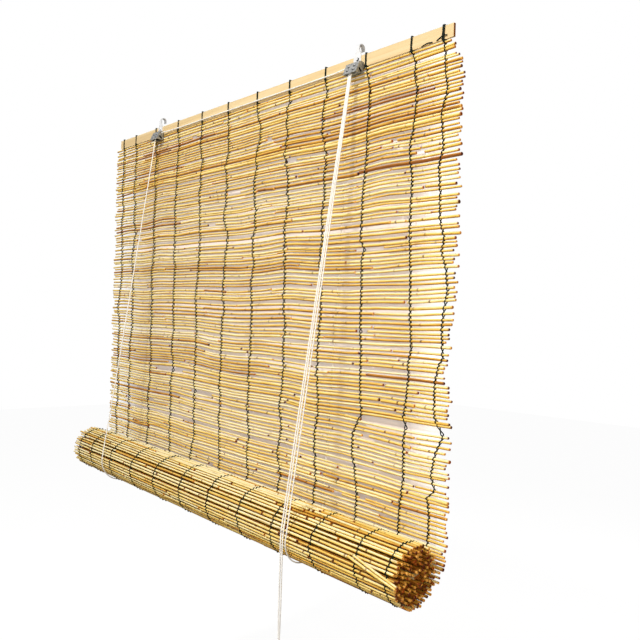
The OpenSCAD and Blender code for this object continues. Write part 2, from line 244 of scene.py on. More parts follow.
def ramp(tree, value, *stops):
    """A colour ramp whose stops are (place, red, green, blue), with the colours from 0 to 255."""
    made = node(tree, "ShaderNodeValToRGB", {0: value})
    elements = made.color_ramp.elements
    while len(elements) > 1:
        elements.remove(elements[-1])
    elements[0].position, elements[0].color = stops[0][0], colour(*stops[0][1:])
    for place, *shade in stops[1:]:
        elements.new(place).color = colour(*shade)
    return made.outputs[0]


def new_group(name, kind, inputs, outputs):
    """A node group with its named sockets. Returns the tree, its input node and its output node."""
    tree = bpy.data.node_groups.new(name, kind)
    for title, socket, default in inputs:
        made = tree.interface.new_socket(name=title, in_out="INPUT", socket_type=socket)
        if default is not None:
            made.default_value = default
    for title, socket in outputs:
        tree.interface.new_socket(name=title, in_out="OUTPUT", socket_type=socket)
    return tree, tree.nodes.new("NodeGroupInput"), tree.nodes.new("NodeGroupOutput")


def run_tree(obj, tree, values, name):
    """Runs a geometry tree on obj and keeps the result as a plain mesh object called name."""
    modifier = obj.modifiers.new("build", "NODES")
    modifier.node_group = tree
    for socket in tree.interface.items_tree:
        if socket.in_out == "INPUT" and socket.name in values:
            modifier[socket.identifier] = values[socket.name]
    evaluated = obj.evaluated_get(bpy.context.evaluated_depsgraph_get())
    mesh = bpy.data.meshes.new_from_object(evaluated)
    obj.modifiers.remove(modifier)
    mesh.name = name
    bpy.data.objects.remove(obj)
    return link(bpy.data.objects.new(name, mesh))


# Shader groups that several materials share

def grain_group():
    """Fine fibres along X: a value from 0 to 1 that changes quickly across and slowly along."""
    inputs = [("Along", "NodeSocketFloat", 10.0), ("Across", "NodeSocketFloat", 900.0),
              ("Detail", "NodeSocketFloat", 4.0)]
    outputs = [("Value", "NodeSocketFloat")]
    tree, given, result = new_group("fibres_along_x", "ShaderNodeTree", inputs, outputs)
    across = given.outputs["Across"]
    stretch = vector_of(tree, given.outputs["Along"], across, across)
    place = vector_math(tree, "MULTIPLY", coordinate(tree, "Object"), stretch)
    noise = node(tree, "ShaderNodeTexNoise", {
        "Vector": place, "Scale": 1.0, "Detail": given.outputs["Detail"], "Roughness": 0.55})
    set_inputs(tree, result, {"Value": noise.outputs[0]})
    return tree


def mottle_group():
    """Blotches of the same size in every direction, from 0 to 1."""
    inputs = [("Size", "NodeSocketFloat", 0.004), ("Detail", "NodeSocketFloat", 3.0)]
    tree, given, result = new_group("mottle", "ShaderNodeTree", inputs, [("Value", "NodeSocketFloat")])
    noise = node(tree, "ShaderNodeTexNoise", {
        "Vector": coordinate(tree, "Object"), "Scale": math_node(tree, "DIVIDE", 1.0, given.outputs["Size"]),
        "Detail": given.outputs["Detail"], "Roughness": 0.6})
    set_inputs(tree, result, {"Value": noise.outputs[0]})
    return tree


def twist_group():
    """Ridges of a laid or braided cord's plies, from its run (metres along) and turn (0 to 1 around)."""
    inputs = [("Pitch", "NodeSocketFloat", 0.003), ("Plies", "NodeSocketFloat", 4.0),
              ("Braid", "NodeSocketFloat", 0.0)]
    tree, given, result = new_group("plies", "ShaderNodeTree", inputs, [("Height", "NodeSocketFloat")])
    braid = given.outputs["Braid"]
    laps = math_node(tree, "DIVIDE", attribute(tree, "run"), given.outputs["Pitch"])
    along = times(tree, laps, math.tau)
    around = times(tree, times(tree, attribute(tree, "turn"), given.outputs["Plies"]), math.tau)
    one_way = math_node(tree, "SINE", plus(tree, along, around))
    other_way = math_node(tree, "SINE", minus(tree, along, around))
    both = times(tree, larger(tree, one_way, other_way), braid)
    single = times(tree, one_way, minus(tree, 1.0, braid))
    set_inputs(tree, result, {"Height": plus(tree, both, single)})
    return tree


FIBRES = grain_group()
MOTTLE = mottle_group()
PLIES = twist_group()


def shared(tree, group, **values):
    """Places a shared shader group in a material's tree and returns its output."""
    made = tree.nodes.new("ShaderNodeGroup")
    made.node_tree = group
    set_inputs(tree, made, values)
    return made.outputs[0]


def new_material(name):
    """An empty material with a Principled BSDF. Returns the material, its tree and the shader."""
    material = bpy.data.materials.new(name)
    material.use_nodes = True
    tree = material.node_tree
    return material, tree, tree.nodes["Principled BSDF"]


def bump(tree, shader, height, distance, strength=1.0):
    inputs = {"Height": height, "Distance": distance, "Strength": strength}
    set_inputs(tree, shader, {"Normal": node(tree, "ShaderNodeBump", inputs).outputs[0]})


# Materials

def reed_material():
    """Dried reed: straw to golden, streaked along its length, with brown joints, stains and cut ends. Painted
    shade makes it browner below and partly darkens the hollows of its cut ends."""
    material, tree, shader = new_material("dried_reed")
    mark, pith = attribute(tree, "mark"), attribute(tree, "pith")
    streaks = shared(tree, FIBRES, Along=20.0, Across=420.0)
    fine = shared(tree, FIBRES, Along=45.0, Across=2600.0)
    shade = plus(tree, attribute(tree, "tone"), times(tree, minus(tree, streaks, 0.5), 0.95))
    shade = plus(tree, shade, times(tree, minus(tree, fine, 0.5), 0.22))
    # Browner where the surface faces down and lighter where it faces up: painted shade on the reed's underside
    upward = parts_of(tree, coordinate(tree, "Normal"))[2]
    shade = plus(tree, shade, remap(tree, upward, -1.0, 1.0, 0.55, -0.22))
    straw = ramp(tree, shade, (0.0, 254, 243, 198), (0.25, 246, 221, 134), (0.5, 234, 192, 84),
                 (0.75, 204, 144, 48), (1.0, 146, 86, 26))
    stain = remap(tree, shared(tree, FIBRES, Along=32.0, Across=300.0, Detail=2.0), 0.63, 0.72)
    straw = mix_colour(tree, times(tree, stain, 0.5), straw, colour(142, 88, 38))
    knuckle = times(tree, remap(tree, attribute(tree, "knuckle"), 0.25, 0.85), mark)
    straw = mix_colour(tree, knuckle, straw, colour(104, 62, 26))
    cut_face = ramp(tree, mark, (0.1, 104, 36, 4), (0.35, 180, 88, 18), (0.6, 250, 190, 92))
    straw = mix_colour(tree, times(tree, attribute(tree, "cut"), 0.95), straw, cut_face)
    # The hollow's colour runs at random from near black to golden: partly the pith's own brown, partly painted
    # shade in the hollow
    hollow = ramp(tree, mark, (0.1, 56, 10, 0), (0.35, 142, 46, 0), (0.65, 226, 134, 32))
    set_inputs(tree, shader, {
        "Base Color": mix_colour(tree, pith, straw, hollow),
        # Almost no reflection inside the hollow: painted shade
        "Specular IOR Level": remap(tree, pith, 0.0, 0.3, 0.3, 0.02),
        "Roughness": remap(tree, streaks, 0.3, 0.7, 0.3, 0.5)})
    bump(tree, shader, fine, 0.00012, 0.6)
    return material


def slat_material():
    """Planed bamboo: pale cream, with fine darker vessels along it and brown pores at its ends."""
    material, tree, shader = new_material("planed_bamboo")
    broad = shared(tree, FIBRES, Along=4.0, Across=170.0, Detail=3.0)
    vessels = shared(tree, FIBRES, Along=16.0, Across=2400.0, Detail=3.0)
    base = ramp(tree, broad, (0.25, 236, 214, 170), (0.5, 227, 201, 151), (0.8, 212, 180, 126))
    lines = times(tree, remap(tree, vessels, 0.56, 0.7), 0.35)
    base = mix_colour(tree, lines, base, colour(200, 158, 96))
    sideways = parts_of(tree, coordinate(tree, "Normal"))[0]
    end_grain = remap(tree, absolute(tree, sideways), 0.7, 0.9)
    pores = ramp(tree, shared(tree, MOTTLE, Size=0.0012), (0.35, 84, 32, 6), (0.65, 190, 110, 34))
    set_inputs(tree, shader, {
        "Base Color": mix_colour(tree, end_grain, base, pores),
        "Specular IOR Level": remap(tree, end_grain, 0.0, 1.0, 0.5, 0.05),
        "Roughness": remap(tree, broad, 0.2, 0.8, 0.42, 0.6)})
    bump(tree, shader, vessels, 0.0001, 0.5)
    return material


def thread_material():
    """Dark green thread, almost black, laid from two plies, with painted shade between the plies."""
    material, tree, shader = new_material("green_thread")
    ridges = shared(tree, PLIES, Pitch=0.0016, Plies=2.0)
    # The plies' ridges go into the colour: painted shade in the grooves between them
    shade = plus(tree, times(tree, ridges, 0.25), shared(tree, MOTTLE, Size=0.0009))
    base = ramp(tree, shade, (0.2, 6, 12, 8), (0.6, 14, 28, 18), (1.0, 36, 50, 32))
    set_inputs(tree, shader, {"Base Color": base, "Roughness": 0.8, "Specular IOR Level": 0.25})
    bump(tree, shader, ridges, 0.00012)
    return material


def cord_material():
    """White braided cord, with painted shade a little darker in the hollows of the braid, and a little soiled in
    places.
    """
    material, tree, shader = new_material("braided_cord")
    ridges = shared(tree, PLIES, Pitch=0.0032, Plies=4.0, Braid=1.0)
    # The colour follows the braid's ridges: painted shade in its hollows
    base = ramp(tree, ridges, (0.0, 246, 245, 242), (0.3, 252, 252, 250), (1.0, 255, 255, 254))
    soil = remap(tree, shared(tree, MOTTLE, Size=0.03), 0.55, 0.85, 0.0, 0.2)
    base = mix_colour(tree, soil, base, colour(228, 222, 210))
    set_inputs(tree, shader, {"Base Color": base, "Roughness": 0.7, "Sheen Weight": 0.5})
    bump(tree, shader, ridges, 0.00006)
    return material


def steel_sheet(name, light, dark, metallic, roughness, spot_size):
    """Plated sheet steel with soft blotches. Returns new_material's three things and the colour."""
    material, tree, shader = new_material(name)
    blotch = shared(tree, MOTTLE, Size=spot_size, Detail=2.0)
    specks = shared(tree, MOTTLE, Size=spot_size / 5, Detail=4.0)
    shade = plus(tree, times(tree, blotch, 0.6), times(tree, specks, 0.4))
    rough = remap(tree, specks, 0.3, 0.7, roughness - 0.08, roughness + 0.1)
    set_inputs(tree, shader, {"Metallic": metallic, "Roughness": rough})
    bump(tree, shader, specks, 0.00005, 0.4)
    return material, tree, shader, ramp(tree, shade, (0.36, *dark), (0.62, *light))


def crescent(tree, place, covered, covered_edge, shade_centre, shade_edge):
    """A crescent of painted shade: 1 inside the circle about the shade's centre and outside the one about covered.
    Edges fade between two radii.
    """
    bare = remap(tree, vector_math(tree, "DISTANCE", place, covered), *covered_edge)
    near = remap(tree, vector_math(tree, "DISTANCE", place, shade_centre), *shade_edge, 1.0, 0.0)
    return times(tree, bare, near)


def strap_material():
    """Bright zinc, with painted shadow along the lower right of the rivet's head."""
    material, tree, shader, base = steel_sheet(
        "bright_zinc", (246, 247, 248), (226, 228, 231), metallic=0.2, roughness=0.36, spot_size=0.004)
    low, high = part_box("rivet_right")
    head, radius = (low + high) / 2, (high.x - low.x) / 2
    head.y = 0
    x, _, z = parts_of(tree, coordinate(tree, "Object"))
    flat = vector_of(tree, absolute(tree, x), 0.0, z)
    # A near-black crescent under the rivet's head: painted shadow
    painted_shade = crescent(tree, flat, head, (radius * 0.8, radius * 0.95),
                     head + Vector((0.0009, 0, -0.0009)), (radius * 0.95, radius * 1.15))
    set_inputs(tree, shader, {"Base Color": mix_colour(tree, painted_shade, base, colour(20, 20, 22))})
    return material


def housing_material():
    """Galvanised sheet, with painted shade under its pressed domes, inside it and in its slots."""
    material, tree, shader, base = steel_sheet(
        "galvanised_sheet", (188, 189, 188), (108, 109, 109), metallic=0.55, roughness=0.44, spot_size=0.003)
    low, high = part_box("lock_housing")
    width, height = high.x - low.x, high.z - low.z
    x, y, z = parts_of(tree, coordinate(tree, "Object"))
    x = absolute(tree, minus(tree, absolute(tree, x), (low.x + high.x) / 2))
    place = vector_of(tree, x, y, z)

    # Under each pressed dome a near-black crescent: painted shade
    for share in DOME_SHARES:
        depth = TOP_DEPTH + (BOTTOM_DEPTH - TOP_DEPTH) * share
        dome = Vector((width * DOME_SPREAD, high.y - depth, high.z - height * share))
        painted_shade = crescent(tree, place, dome + Vector((0, 0, 0.0016)), (DOME_RADIUS, DOME_RADIUS + 0.0007),
                         dome, (DOME_RADIUS, DOME_RADIUS + 0.0009))
        base = mix_colour(tree, painted_shade, base, colour(24, 24, 24))

    # Faces inside the housing, behind its front sheet, are dark brown: painted shade
    slope = math.atan2(BOTTOM_DEPTH - TOP_DEPTH, height)
    from_front = vector_math(tree, "SUBTRACT", place, (0, high.y - TOP_DEPTH, high.z))
    ahead = vector_math(tree, "DOT_PRODUCT", from_front, (0, -math.cos(slope), -math.sin(slope)))
    skin = 0.8 * HOUSING_SHEET
    inside = times(tree, math_node(tree, "LESS_THAN", ahead, -skin),
                   math_node(tree, "LESS_THAN", x, width / 2 - skin))
    base = mix_colour(tree, inside, base, colour(34, 30, 26))

    # The slots along which the roller slides are near black: painted shade in the slots
    low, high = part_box("locking_roller")
    start, half = (low + high) / 2, LOCKER_TRAVEL / 2
    from_start = vector_math(tree, "SUBTRACT", place, (0, start.y, start.z))
    along = vector_math(tree, "DOT_PRODUCT", from_start, LOCKER_AXIS)
    across = vector_math(tree, "DOT_PRODUCT", from_start, (0, LOCKER_AXIS.z, -LOCKER_AXIS.y))
    beyond = minus(tree, absolute(tree, minus(tree, along, half)), half)
    slot = math_node(tree, "LESS_THAN", larger(tree, absolute(tree, across), beyond), SLOT_RADIUS)
    set_inputs(tree, shader, {"Base Color": mix_colour(tree, slot, base, colour(14, 12, 11))})
    return material


def plastic_material():
    """Off-white moulded wheel, a little glossy."""
    material, tree, shader = new_material("moulded_wheel")
    base = ramp(tree, shared(tree, MOTTLE, Size=0.002), (0.3, 226, 222, 208), (0.7, 238, 235, 226))
    set_inputs(tree, shader, {"Base Color": base, "Roughness": 0.4})
    return material


FINISH = {
    "reed": reed_material(),
    "slat": slat_material(),
    "thread": thread_material(),
    "cord": cord_material(),
    "strap": strap_material(),
    "housing": housing_material(),
    "wheel": plastic_material(),
}


def set_camera():
    """The photograph's viewpoint, found from the thread columns and the roll's end."""
    yaw, pitch, roll = (math.radians(angle) for angle in (CAMERA_YAW, CAMERA_PITCH, CAMERA_ROLL))
    forward = Vector((-math.sin(yaw) * math.cos(pitch), math.cos(yaw) * math.cos(pitch), math.sin(pitch)))
    level = Vector((math.cos(yaw), math.sin(yaw), 0))
    up = level.cross(forward)
    right = math.cos(roll) * level + math.sin(roll) * up
    top = -math.sin(roll) * level + math.cos(roll) * up
    data = bpy.data.cameras.new("camera")
    data.sensor_width = 36
    data.lens = CAMERA_LENS
    data.clip_start, data.clip_end = 0.01, 50
    camera = link(bpy.data.objects.new("camera", data))
    place = Matrix((right, top, -forward)).transposed().to_4x4()
    place.translation = Vector(CAMERA_PLACE)
    camera.matrix_world = place
    bpy.context.scene.camera = camera


# Cords. Each route is a list of points in metres, from its upper end to its lower one.

ROUTES = {
    "back_strand_right": [
        (0.272, 0.003, -0.0276), (0.268, 0.002, -0.042), (0.261, 0.001, -0.082), (0.247, 0.001, -0.31),
        (0.232, 0.0008, -0.57), (0.226, 0.0004, -0.6795)],
    "back_strand_left": [
        (-0.286, 0.003, -0.0276), (-0.29, 0.0025, -0.042), (-0.297, 0.0022, -0.082), (-0.311, 0.0016, -0.31),
        (-0.326, 0.001, -0.57), (-0.332, 0.0004, -0.6616)],
    "front_strand_right": [
        (0.2786, -0.0159, -0.038), (0.278, -0.0176, -0.055), (0.272, -0.0336, -0.2), (0.265, -0.0523, -0.37),
        (0.258, -0.0711, -0.54), (0.253, -0.0843, -0.66), (0.2524, -0.086, -0.6757)],
    "front_strand_left": [
        (-0.279, -0.0159, -0.038), (-0.28, -0.0176, -0.055), (-0.289, -0.0336, -0.2),
        (-0.2995, -0.0528, -0.37), (-0.311, -0.072, -0.54), (-0.319, -0.0844, -0.643),
        (-0.32, -0.086, -0.6572)],
    "pull_cord_right": [
        (0.2763, -0.0159, -0.038), (0.2756, -0.0176, -0.055), (0.2685, -0.0336, -0.2),
        (0.2602, -0.0523, -0.37), (0.252, -0.0711, -0.54), (0.2461, -0.0843, -0.66),
        (0.2454, -0.086, -0.675)],
    "pull_cord_left": [
        (0.274, -0.0159, -0.038), (0.2732, -0.0176, -0.055), (0.2655, -0.0336, -0.2),
        (0.2566, -0.0523, -0.37), (0.2476, -0.0711, -0.54), (0.2413, -0.0843, -0.66),
        (0.2406, -0.086, -0.675)],
    "pull_tail_right": [
        (0.2454, -0.086, -0.6752), (0.2453, -0.0863, -0.682), (0.245, -0.0864, -0.72),
        (0.245, -0.0864, -0.78), (0.2442, -0.0864, -0.815), (0.244, -0.0864, -0.8403)],
    "pull_tail_left": [
        (0.2406, -0.086, -0.6752), (0.2407, -0.0863, -0.682), (0.241, -0.0864, -0.72),
        (0.241, -0.0864, -0.78), (0.2418, -0.0864, -0.815), (0.242, -0.0864, -0.8403)],
}
# The cord along the slat, from the lock to the pulley
CROSS = [(0.2667, -0.0097, -0.026), (0.258, -0.0088, -0.026), (0.24, -0.007, -0.0262),
         (0.21, -0.0065, -0.0264), (0.09, -0.0065, -0.0264), (-0.09, -0.0065, -0.0264),
         (-0.21, -0.0065, -0.0264), (-0.24, -0.007, -0.0262), (-0.258, -0.0088, -0.026),
         (-0.2667, -0.0097, -0.026)]
# How far a lift loop turns round the roll, in degrees from the roll's back
LOOP_TURN = 186.5

# The coil: its middle, the radii of its layers from outside in, and the turns of one cord in a layer
COIL_CENTRE = np.array((0.243, -0.0864, -0.8623))
COIL_LAYERS = (0.014, 0.012, 0.01, 0.008)
COIL_PLACES = 7
COIL_STEP = math.tau / 24
# The cord comes down onto the coil in an arc of this radius and meets it this far past the top
LEAD_RADIUS = 0.01025
LEAD_ANGLE = math.radians(25)
# It leaves through the bore, which it crosses while it turns by this angle down to the bore's bottom
EXIT_TURN = math.radians(202)
BORE_RADIUS = 0.006
# Where its end knot is, along the coil's axis and out from it
END_KNOT = (0.0168, 0.007)
# The coil's tie: how round its corners are, and how far its knot is from its left side
TIE_CORNER = 0.0015
TIE_KNOT = 0.006


def run_along(path):
    """How far along a path each of its points is."""
    return np.concatenate([[0], np.cumsum(np.linalg.norm(np.diff(path, axis=0), axis=1))])


def smooth_route(route, step):
    """Points about step apart on a smooth curve through the route's own points."""
    points = np.array(route, float)
    knots = run_along(points)
    slopes = np.gradient(points, knots, axis=0)
    places = np.linspace(0, knots[-1], max(2, round(knots[-1] / step)) + 1)
    which = np.clip(np.searchsorted(knots, places, side="right") - 1, 0, len(points) - 2)
    span = np.diff(knots)[which][:, None]
    t = (places - knots[which])[:, None] / span
    return ((2 * t**3 - 3 * t**2 + 1) * points[which] + (t**3 - 2 * t**2 + t) * span * slopes[which]
            + (3 * t**2 - 2 * t**3) * points[which + 1] + (t**3 - t**2) * span * slopes[which + 1])


def tube(name, path, radius, sides=10):
    """A closed tube along the path, with its run in metres and its turn from 0 to 1 kept for the finish."""
    path = np.array(path, float)
    runs, count = run_along(path), len(path)
    tangents = np.gradient(path, axis=0)
    tangents /= np.linalg.norm(tangents, axis=1)[:, None]
    side = np.cross(tangents[0], (0.3, 0.5, 0.8))
    angles = np.arange(sides) * math.tau / sides
    rings = []
    for centre, tangent in zip(path, tangents):
        side = side - tangent * side.dot(tangent)
        side /= np.linalg.norm(side)
        other = np.cross(tangent, side)
        rings.append(centre + radius * (np.outer(np.cos(angles), side) + np.outer(np.sin(angles), other)))
    vertices = np.concatenate(rings + [path[:1], path[-1:]])
    first, last, last_ring = count * sides, count * sides + 1, (count - 1) * sides
    faces = side_faces(count, sides)
    faces += [(first, (k + 1) % sides, k) for k in range(sides)]
    faces += [(last, last_ring + k, last_ring + (k + 1) % sides) for k in range(sides)]
    mesh = bpy.data.meshes.new(name)
    mesh.from_pydata(vertices.tolist(), [], faces)
    mesh.shade_smooth()
    add_attributes(mesh, {
        "run": np.concatenate([np.repeat(runs, sides), runs[[0, -1]]]),
        "turn": np.concatenate([np.tile(np.arange(sides) / sides, count), [0, 0]])})
    mesh.materials.append(FINISH["cord"])
    return link(bpy.data.objects.new(name, mesh))


def cord_piece(name, path, body, sides=10, also=()):
    """A length of cord on a body, which stands for the solid of that name and for those in also."""
    return place_piece(tube("cord_" + name, path, CORD_RADIUS, sides), body, "cord", name, *also)


def squashing_strand(name):
    """A strand between the slat and the roll, as a piece on the head with a mesh of its own."""
    path = smooth_route(ROUTES[name], 0.003)
    obj = cord_piece(name, path, "head")
    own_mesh(obj)
    return obj, path


def lift_loop(side):
    """The bight of cord that carries the roll, from the strand behind it to the one before it."""
    radius = ROLL_RADIUS + 0.0003 + CORD_RADIUS
    turns = np.radians(np.linspace(0, LOOP_TURN, 60))
    back, front = ROUTES["back_strand_" + side][-1][0], ROUTES["front_strand_" + side][-1][0]
    places = np.linspace(back, front, len(turns))
    path = np.column_stack([places, ROLL_CENTRE.y + radius * np.cos(turns),
                            ROLL_CENTRE.z - places * math.tan(SKEW) - radius * np.sin(turns)])
    cord_piece("lift_loop_" + side, path, "lift_cords")


def ease(value):
    """0 below 0, 1 above 1 and a smooth step between them."""
    value = np.clip(value, 0, 1)
    return value * value * (3 - 2 * value)


def around_coil(side, along, radius, angle):
    """Points on one half of the coil, from places along its axis, radii and angles past its top."""
    parts = (side * along, side * radius * np.sin(angle), radius * np.cos(angle))
    return COIL_CENTRE + np.column_stack(np.broadcast_arrays(*parts))


def coil_route(side):
    """One pull cord's winding, from above the coil to its end knot, on the side's half of the coil."""
    bend = np.linspace(0, math.pi / 2 - LEAD_ANGLE, 7)[:-1]
    top = (COIL_LAYERS[0] + LEAD_RADIUS) * math.cos(LEAD_ANGLE)
    lead = COIL_CENTRE + np.column_stack([
        np.full(len(bend), side * CORD_RADIUS), side * LEAD_RADIUS * (1 - np.cos(bend)),
        top - LEAD_RADIUS * np.sin(bend)])

    total = len(COIL_LAYERS) * COIL_PLACES * math.tau + math.pi - LEAD_ANGLE - EXIT_TURN
    turned = np.linspace(0, total, round(total / COIL_STEP) + 1)
    layer, share = np.divmod(turned / math.tau / COIL_PLACES, 1)
    layer = layer.astype(int)
    share = np.where(layer % 2 == 0, share, 1 - share)
    along = (0.5 + (COIL_PLACES - 1) * share) * 2 * CORD_RADIUS
    layers = np.array(COIL_LAYERS)
    started = np.clip((turned / math.tau - layer * COIL_PLACES) * 2, 0, 1)
    radius = layers[layer] + (layers[np.maximum(layer - 1, 0)] - layers[layer]) * (1 - started)
    winding = around_coil(side, along, radius, LEAD_ANGLE + turned)

    way = np.linspace(0, 1, 19)[1:]
    radius = (COIL_LAYERS[-1] + (BORE_RADIUS - COIL_LAYERS[-1]) * ease(way / 0.45)
              + (END_KNOT[1] - BORE_RADIUS) * ease((way - 0.8) / 0.2))
    along = along[-1] + (END_KNOT[0] - along[-1]) * ease(way)
    leaving = around_coil(side, along, radius, math.pi - EXIT_TURN * (1 - way))
    return np.concatenate([lead, winding, leaving])


def knot_path(centre, size, steps=48):
    """A tight overhand knot, as a trefoil about a point."""
    t = math.tau * np.arange(steps + 1) / steps
    radius = size * (0.62 + 0.38 * np.cos(3 * t))
    return np.array(centre) + np.column_stack([
        radius * np.cos(2 * t), -0.45 * size * np.sin(3 * t), radius * np.sin(2 * t)])


def make_knot(name, body, centre, *solids):
    """A knot in a lift or pull cord, which stands for the named solid if one is given."""
    return place_piece(tube(name, knot_path(centre, 0.0022), 0.0009), body, "cord", *solids)


def make_coil_tie():
    """Thin twine tied once over the coil's top and through its bore, with its knot and two ends on top."""
    low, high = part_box("coil_tie")
    inset = 0.0007
    left, right, bottom, top = low.x + inset, high.x - inset, low.z + inset, high.z - inset
    y = (low.y + high.y) / 2
    points = []
    for x, z, start in ((right - TIE_CORNER, top - TIE_CORNER, 0), (left + TIE_CORNER, top - TIE_CORNER, 90),
                        (left + TIE_CORNER, bottom + TIE_CORNER, 180),
                        (right - TIE_CORNER, bottom + TIE_CORNER, 270)):
        for angle in np.radians(np.linspace(start, start + 90, 5)):
            points.append((x + TIE_CORNER * math.cos(angle), y, z + TIE_CORNER * math.sin(angle)))
    points.append(points[0])
    knot = Vector((left + TIE_KNOT, y, top + TWINE_RADIUS))
    lines = [smooth_route(points, 0.0015), knot_path(knot, 2 * TWINE_RADIUS)]
    for sign in (-1, 1):
        end = knot + Vector((0, sign * 0.0006, 0))
        lines.append(smooth_route([end, end + Vector((0.001, sign * 0.001, 0.0006)),
                                   end + Vector((0.0015, sign * 0.0012, -0.0004))], 0.0005))
    pieces = [tube("coil_tie_twine", line, TWINE_RADIUS, 8) for line in lines]
    for obj, solids in zip(pieces, (["coil_tie"], [], [], [])):
        place_piece(obj, "lift_cords", "cord", *solids)
    return pieces


def make_cords():
    sides = ("right", "left")
    for strand in ("back_strand_", "front_strand_"):
        for side in sides:
            squashing_strand(strand + side)
    for side in sides:
        lift_loop(side)
    cord_piece("cross_cord", smooth_route(CROSS, 0.003), "head")
    for side in sides:
        low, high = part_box("knot_" + side)
        make_knot("tied_knot_" + side, "head", (low + high) / 2, "knot_" + side)
    for side in sides:
        obj, path = squashing_strand("pull_cord_" + side)
    tie = make_coil_tie()
    # The right tail's winding stands for the whole coil, and both knots for their shared solid
    for side, sign, coil, ends, tied in (("right", 1, ["cord_coil"], ["end_knots"], tie),
                                         ("left", -1, [], [], [])):
        name = "pull_tail_" + side
        path = np.concatenate([smooth_route(ROUTES[name], 0.002)[:-1], coil_route(sign)])
        obj = cord_piece(name, path, "lift_cords", sides=8, also=coil)
        knot = make_knot("end_knot_" + side, "lift_cords", path[-1], *ends)


# The hanging mat

rng = np.random.default_rng(7)
KNOTS = np.linspace(-HALF_WIDTH - OVERHANG_MAX, HALF_WIDTH + OVERHANG_MAX, 15)
# Wide gaps between two rows: (row, start, end, extra width)
PARTINGS = [(86, 0.31, 0.48, 0.005), (27, -0.05, 0.02, 0.003), (46, 0.27, 0.33, 0.003),
            (82, -0.3, -0.1, 0.004), (89, 0.4, 0.5, 0.004), (12, 0.2, 0.33, 0.002), (66, 0.05, 0.2, 0.003)]
# How wide the gaps are from the slat down to the roll: (row, share of the usual gap)
LOOSENESS = [(0, 0.55), (14, 0.8), (30, 1.15), (60, 1.15), (86, 1.0), (96, 1.15), (103, 0.95), (109, 0.5),
             (ROW_COUNT, 0.4)]
# Stretches of a row where a reed has dropped out: (row, start, end)
DROPPED = [(86, 0.305, 0.49), (27, -0.04, 0.0), (46, 0.285, 0.34), (82, -0.27, -0.17), (88, -0.14, -0.07)]
# How far past the slat's end the hanging rows reach on the right: (row, length)
RIGHT_EDGE = [(0, 0.004), (2, 0.01), (5, 0.02), (60, 0.019), (64, 0.01), (68, 0.01), (74, 0.005),
              (79, 0.015), (ROW_COUNT, 0.014)]
# How often a row is made of two, three, four, five or six reeds
REEDS_IN_ROW = (0.16, 0.3, 0.28, 0.18, 0.08)


def drop_to_roll(x):
    """Depth of the hanging mat at a place along the slat, down to where it meets the roll."""
    return MAT_TOP - ROLL_CENTRE.z + x * math.tan(SKEW)


def row_sizes():
    """Radius of each hanging row's reed: mostly alike, with a few thick ones."""
    usual = REED_RADIUS * rng.uniform(0.8, 1.15, ROW_COUNT)
    return usual + (THICKEST_REED - REED_RADIUS) * rng.random(ROW_COUNT) ** 5


def row_heights(radii):
    """Height of every hanging row over each knot. The gaps between the reeds vary, but always add up."""
    across = rng.normal(0, 0.6, ROW_COUNT)[:, None]
    local = rng.normal(0, 0.16, (ROW_COUNT, len(KNOTS)))
    gaps = np.exp(across + local) * np.interp(np.arange(ROW_COUNT), *zip(*LOOSENESS))[:, None]
    free = drop_to_roll(KNOTS) - 2 * radii.sum()
    extra = np.zeros_like(gaps)
    for row, start, end, width in PARTINGS:
        inside = np.clip((KNOTS - start) / 0.1 + 0.5, 0, 1) * np.clip((end - KNOTS) / 0.1 + 0.5, 0, 1)
        extra[row] += width * inside
    gaps = gaps * (free - extra.sum(axis=0)) / gaps.sum(axis=0) + extra
    tops = np.cumsum(gaps + 2 * radii[:, None], axis=0)
    return MAT_TOP - tops + radii[:, None]


row_radii = row_sizes()
heights = row_heights(row_radii)


def row_height(row, x):
    return float(np.interp(x, KNOTS, heights[row]))


def lines_object(name, lines):
    """A curve object with one plain polyline for each row."""
    data = bpy.data.curves.new(name, "CURVE")
    data.dimensions = "3D"
    for points in lines:
        spline = data.splines.new("POLY")
        spline.points.add(len(points) - 1)
        spline.points.foreach_set("co", np.column_stack([points, np.ones(len(points))]).ravel())
    return link(bpy.data.objects.new(name, data))


def reed_blank(name, stations, joints, sides=8):
    """A reed with hollow cut ends and a knuckle at each joint, as rings for the tree of reeds to place."""
    hollow, rim, wide = 0.004, 0.0003, 0.0022
    # Each ring: how far along the reed it is, its shift along in metres, its share of the reed's radius, and
    # how much of it is knuckle, cut face and pith
    rings = [(0, hollow, 0.4, 0, 1, 1), (0, 0, 0.42, 0, 1, 0.3), (0, 0, 0.9, 0, 1, 0), (0, rim, 1, 0, 0.8, 0),
             (0, wide, 1, 0, 0, 0)]
    for station in range(1, stations):
        along = station / stations
        if station in joints:
            rings += [(along, -wide, 1, 0, 0, 0), (along, -0.0008, 1.07, 0.9, 0, 0),
                      (along, 0.0006, 1.1, 1, 0, 0), (along, wide, 1, 0, 0, 0)]
        else:
            rings.append((along, 0, 1, 0, 0, 0))
    rings += [(1, -shift, *rest) for _, shift, *rest in reversed(rings[:5])]
    count = len(rings)
    table = np.repeat(np.array(rings, float), sides, axis=0)
    along, shift, share, knuckle, cut, pith = table.T
    angles = np.tile(np.arange(sides) * math.tau / sides, count)
    points = np.column_stack([along + shift, share * np.cos(angles), share * np.sin(angles)])
    faces = side_faces(count, sides)
    faces.append(tuple(reversed(range(sides))))
    faces.append(tuple((count - 1) * sides + k for k in range(sides)))
    mesh = bpy.data.meshes.new(name)
    mesh.from_pydata(points.tolist(), [], faces)
    add_attributes(mesh, {"along": along, "shift": shift, "share": share, "knuckle": knuckle, "cut": cut,
                          "pith": pith, "around": angles})
    return bpy.data.objects.new(name, mesh)


